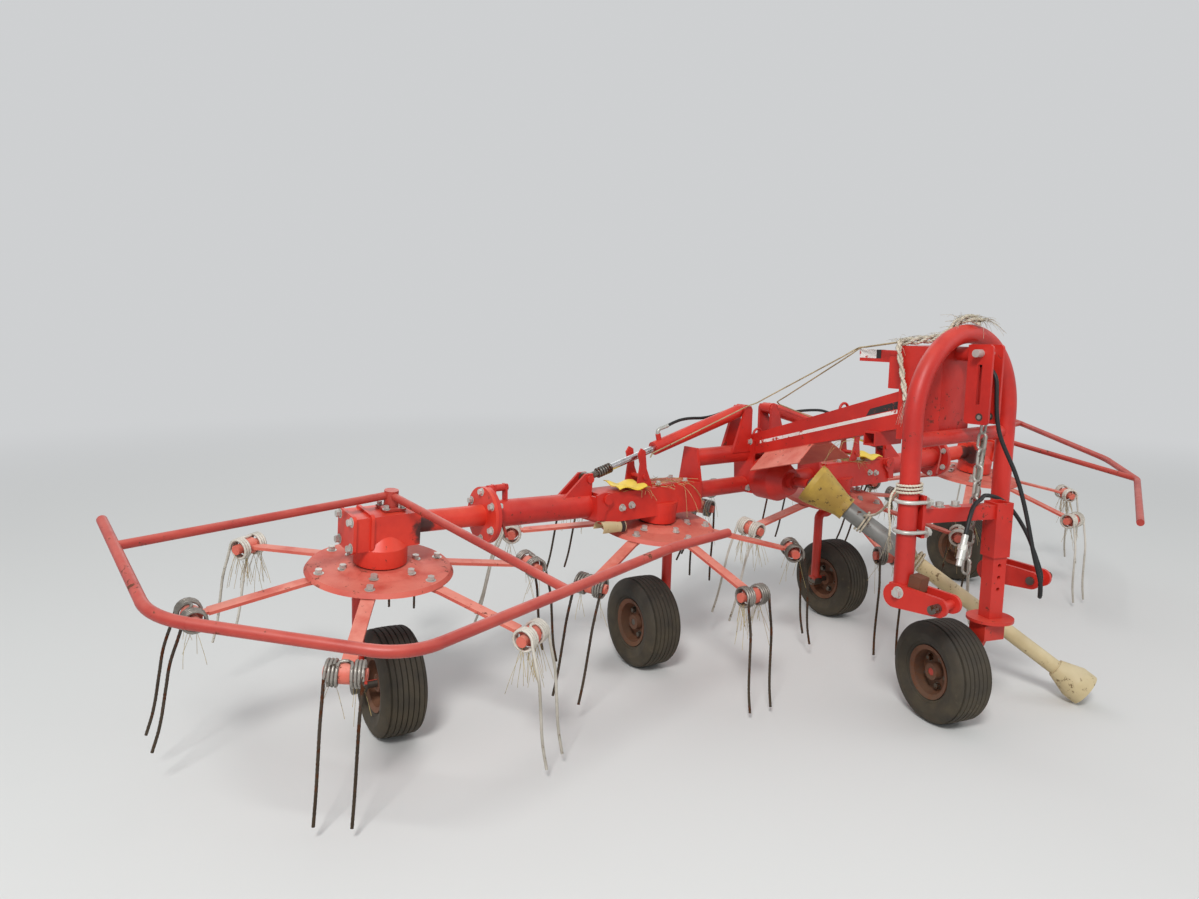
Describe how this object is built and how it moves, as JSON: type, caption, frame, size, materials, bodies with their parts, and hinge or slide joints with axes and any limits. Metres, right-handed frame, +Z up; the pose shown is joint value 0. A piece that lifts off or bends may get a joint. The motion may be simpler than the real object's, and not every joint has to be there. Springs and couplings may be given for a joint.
{
  "type": "hay tedder",
  "caption": "Tractor-mounted hay tedder: spinning tined rotors on a folding red frame, each over a small tyred wheel, with an arched headstock and tube guards.",
  "frame": {"origin": "middle of the whole machine's box in plan, on the ground under its tyres", "axes": "+X to the machine's left seen from behind, where the long drive shaft's end lies; +Y backwards, away from the tractor (the headstock looks to -Y); +Z up"},
  "size_m": [4.6691, 1.9442, 1.3309],
  "materials": {
    "paint": "semi-gloss, scuffed",
    "faded_paint": "matt, sun-faded",
    "steel": "worn, lightly rusted",
    "tine_steel": "worn by the crop",
    "tyre": "matt black",
    "rim": "rusted",
    "guard_yellow": "dirty",
    "guard_cream": "dirty",
    "white": "striped red, white and black",
    "hose": "matt black, dusty"
  },
  "bodies": {
    "frame": {"main_beam": "paint", "cross_frame": "paint", "centre_gearbox": "paint", "gearbox_right_inner": "paint", "gearbox_left_inner": "paint", "hitch_arch": "paint", "top_link_bracket": "paint", "lift_chain": "steel", "shaft_hood": "faded_paint", "shaft_cone": "guard_yellow", "shaft_outer_tube": "steel", "hose": "hose", "hose_coupler": "steel", "warning_bar": "white", "latch_right": "paint", "latch_left": "paint", "support_arm": "paint"},
    "shaft_end": {"shaft_inner_tube": "guard_cream"},
    "wing_right": {"wing_arm_right": "paint", "gearbox_right_outer": "paint", "guard_right": "faded_paint"},
    "wing_left": {"wing_arm_left": "paint", "gearbox_left_outer": "paint", "guard_left": "faded_paint"},
    "barrel_right": {"ram_barrel_right": "paint"},
    "barrel_left": {"ram_barrel_left": "paint"},
    "rod_right": {"ram_rod_right": "steel"},
    "rod_left": {"ram_rod_left": "steel"},
    "support_column": {"support_post": "paint"},
    "support_swivel": {"support_fork": "paint"},
    "support_wheel": {"support_rim": "rim", "support_tyre": "tyre"},
    "reel_1": {"rotor_1": "faded_paint", "tines_1": "tine_steel"},
    "steer_1": {"leg_1": "paint"},
    "wheel_1": {"rim_1": "rim", "tyre_1": "tyre"},
    "reel_2": {"rotor_2": "faded_paint", "tines_2": "tine_steel"},
    "steer_2": {"leg_2": "paint"},
    "wheel_2": {"rim_2": "rim", "tyre_2": "tyre"},
    "reel_3": {"rotor_3": "faded_paint", "tines_3": "tine_steel"},
    "steer_3": {"leg_3": "paint"},
    "wheel_3": {"rim_3": "rim", "tyre_3": "tyre"},
    "reel_4": {"rotor_4": "faded_paint", "tines_4": "tine_steel"},
    "steer_4": {"leg_4": "paint"},
    "wheel_4": {"rim_4": "rim", "tyre_4": "tyre"}
  },
  "joints": [
    {"name": "wing_fold_right", "type": "hinge", "parent": "frame", "child": "wing_right", "pos_m": [-0.7224, 0.2476, 0.692], "axis": [0, 1, 0], "range_deg": [-4, 90]},
    {"name": "wing_fold_left", "type": "hinge", "parent": "frame", "child": "wing_left", "pos_m": [0.8996, 0.2476, 0.692], "axis": [0, -1, 0], "range_deg": [-4, 90]},
    {"name": "rotor_spin_1", "type": "hinge", "parent": "wing_right", "child": "reel_1", "pos_m": [-1.5544, 0.2476, 0.56], "axis": [0, -0.1392, 0.9903], "continuous": true},
    {"name": "rotor_spin_2", "type": "hinge", "parent": "frame", "child": "reel_2", "pos_m": [-0.4314, 0.2476, 0.56], "axis": [0, -0.1392, 0.9903], "continuous": true},
    {"name": "rotor_spin_3", "type": "hinge", "parent": "frame", "child": "reel_3", "pos_m": [0.6086, 0.2476, 0.56], "axis": [0, -0.1392, 0.9903], "continuous": true},
    {"name": "rotor_spin_4", "type": "hinge", "parent": "wing_left", "child": "reel_4", "pos_m": [1.7316, 0.2476, 0.56], "axis": [0, -0.1392, 0.9903], "continuous": true},
    {"name": "wheel_steer_1", "type": "hinge", "parent": "wing_right", "child": "steer_1", "pos_m": [-1.5544, 0.2476, 0.56], "axis": [0, -0.1392, 0.9903], "range_deg": [-12, 24]},
    {"name": "wheel_roll_1", "type": "hinge", "parent": "steer_1", "child": "wheel_1", "pos_m": [-1.52199, 0.25593, 0.1728], "axis": [0.9945, -0.1035, -0.0145], "continuous": true},
    {"name": "wheel_steer_2", "type": "hinge", "parent": "frame", "child": "steer_2", "pos_m": [-0.4314, 0.2476, 0.56], "axis": [0, -0.1392, 0.9903], "range_deg": [-12, 24]},
    {"name": "wheel_roll_2", "type": "hinge", "parent": "steer_2", "child": "wheel_2", "pos_m": [-0.47259, 0.26374, 0.1728], "axis": [0.9945, -0.1035, -0.0145], "continuous": true},
    {"name": "wheel_steer_3", "type": "hinge", "parent": "frame", "child": "steer_3", "pos_m": [0.6086, 0.2476, 0.56], "axis": [0, -0.1392, 0.9903], "range_deg": [-12, 24]},
    {"name": "wheel_roll_3", "type": "hinge", "parent": "steer_3", "child": "wheel_3", "pos_m": [0.64101, 0.25593, 0.1728], "axis": [0.9945, -0.1035, -0.0145], "continuous": true},
    {"name": "wheel_steer_4", "type": "hinge", "parent": "wing_left", "child": "steer_4", "pos_m": [1.7316, 0.2476, 0.56], "axis": [0, -0.1392, 0.9903], "range_deg": [-12, 24]},
    {"name": "wheel_roll_4", "type": "hinge", "parent": "steer_4", "child": "wheel_4", "pos_m": [1.69041, 0.26374, 0.1728], "axis": [0.9945, -0.1035, -0.0145], "continuous": true},
    {"name": "ram_swing_right", "type": "hinge", "parent": "frame", "child": "barrel_right", "pos_m": [0.0126, 0.2476, 0.974], "axis": [0, 1, 0], "range_deg": [-4.06, 1.14]},
    {"name": "ram_stroke_right", "type": "slide", "parent": "barrel_right", "child": "rod_right", "axis": [0.9651, 0, 0.262], "range_m": [-0.008, 0.1148]},
    {"name": "ram_swing_left", "type": "hinge", "parent": "frame", "child": "barrel_left", "pos_m": [0.1646, 0.2476, 0.974], "axis": [0, -1, 0], "range_deg": [-4.06, 1.14]},
    {"name": "ram_stroke_left", "type": "slide", "parent": "barrel_left", "child": "rod_left", "axis": [-0.9651, 0, 0.262], "range_m": [-0.008, 0.1148]},
    {"name": "support_lift", "type": "slide", "parent": "frame", "child": "support_column", "axis": [0, 0, 1], "range_m": [0, 0.12]},
    {"name": "support_swivel", "type": "hinge", "parent": "support_column", "child": "support_swivel", "pos_m": [0.1486, -0.7974, 0.357], "axis": [0, 0, 1], "range_deg": [-23, 56]},
    {"name": "support_roll", "type": "hinge", "parent": "support_swivel", "child": "support_wheel", "pos_m": [0.03908, -0.70238, 0.1725], "axis": [0.9588, -0.284, 0], "continuous": true},
    {"name": "shaft_slide", "type": "slide", "parent": "frame", "child": "shaft_end", "axis": [0.4175, -0.7196, -0.5549], "range_m": [-0.2, 0]}
  ],
  "couplings": [
    {"joint": "rotor_spin_1", "follows": "rotor_spin_2", "ratio": -1},
    {"joint": "rotor_spin_3", "follows": "rotor_spin_2", "ratio": -1},
    {"joint": "rotor_spin_4", "follows": "rotor_spin_2", "ratio": 1},
    {"joint": "ram_swing_right", "follows": "wing_fold_right", "ratio": -0.034},
    {"joint": "ram_stroke_right", "follows": "wing_fold_right", "m_per_rad": 0.0712},
    {"joint": "ram_swing_left", "follows": "wing_fold_left", "ratio": -0.034},
    {"joint": "ram_stroke_left", "follows": "wing_fold_left", "m_per_rad": 0.0712}
  ]
}
